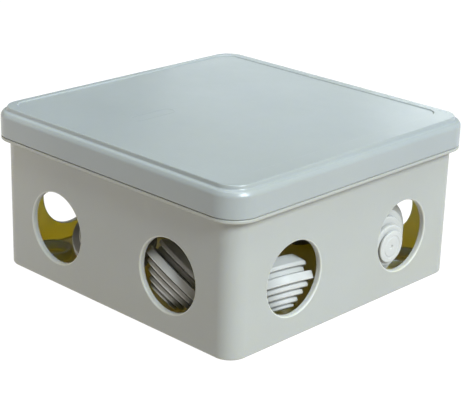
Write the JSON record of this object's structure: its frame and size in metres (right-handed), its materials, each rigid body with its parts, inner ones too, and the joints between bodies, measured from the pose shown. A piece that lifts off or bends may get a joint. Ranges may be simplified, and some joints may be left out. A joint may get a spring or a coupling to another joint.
{
  "type": "electrical junction box",
  "caption": "Square surface-mounted plastic junction box with a push-on lid, round cable openings in its walls and loose stepped cable seals inside.",
  "frame": {"origin": "middle of the base's underside, the face that lies against a wall", "axes": "+Z out of the lid, away from the mounting face; +X and -Y are two of the four equal walls with cable openings"},
  "size_m": [0.1, 0.1, 0.0492],
  "materials": {
    "base_plastic": "satin, finely textured moulded plastic, warm light grey",
    "lid_plastic": "satin, finely textured moulded plastic, cool light grey",
    "seal_rubber": "soft moulded light grey elastomer"
  },
  "bodies": {
    "base": {"box_base": "base_plastic", "cable_seal_1": "seal_rubber", "cable_seal_2": "seal_rubber", "cable_seal_3": "seal_rubber", "cable_seal_4": "seal_rubber", "cable_seal_5": "seal_rubber", "cable_seal_6": "seal_rubber", "cable_seal_7": "seal_rubber", "cable_seal_8": "seal_rubber"},
    "lid": {"box_lid": "lid_plastic"}
  },
  "joints": [
    {"name": "lid_lift", "type": "slide", "parent": "base", "child": "lid", "axis": [0, 0, 1], "range_m": [0, 0.06]}
  ]
}
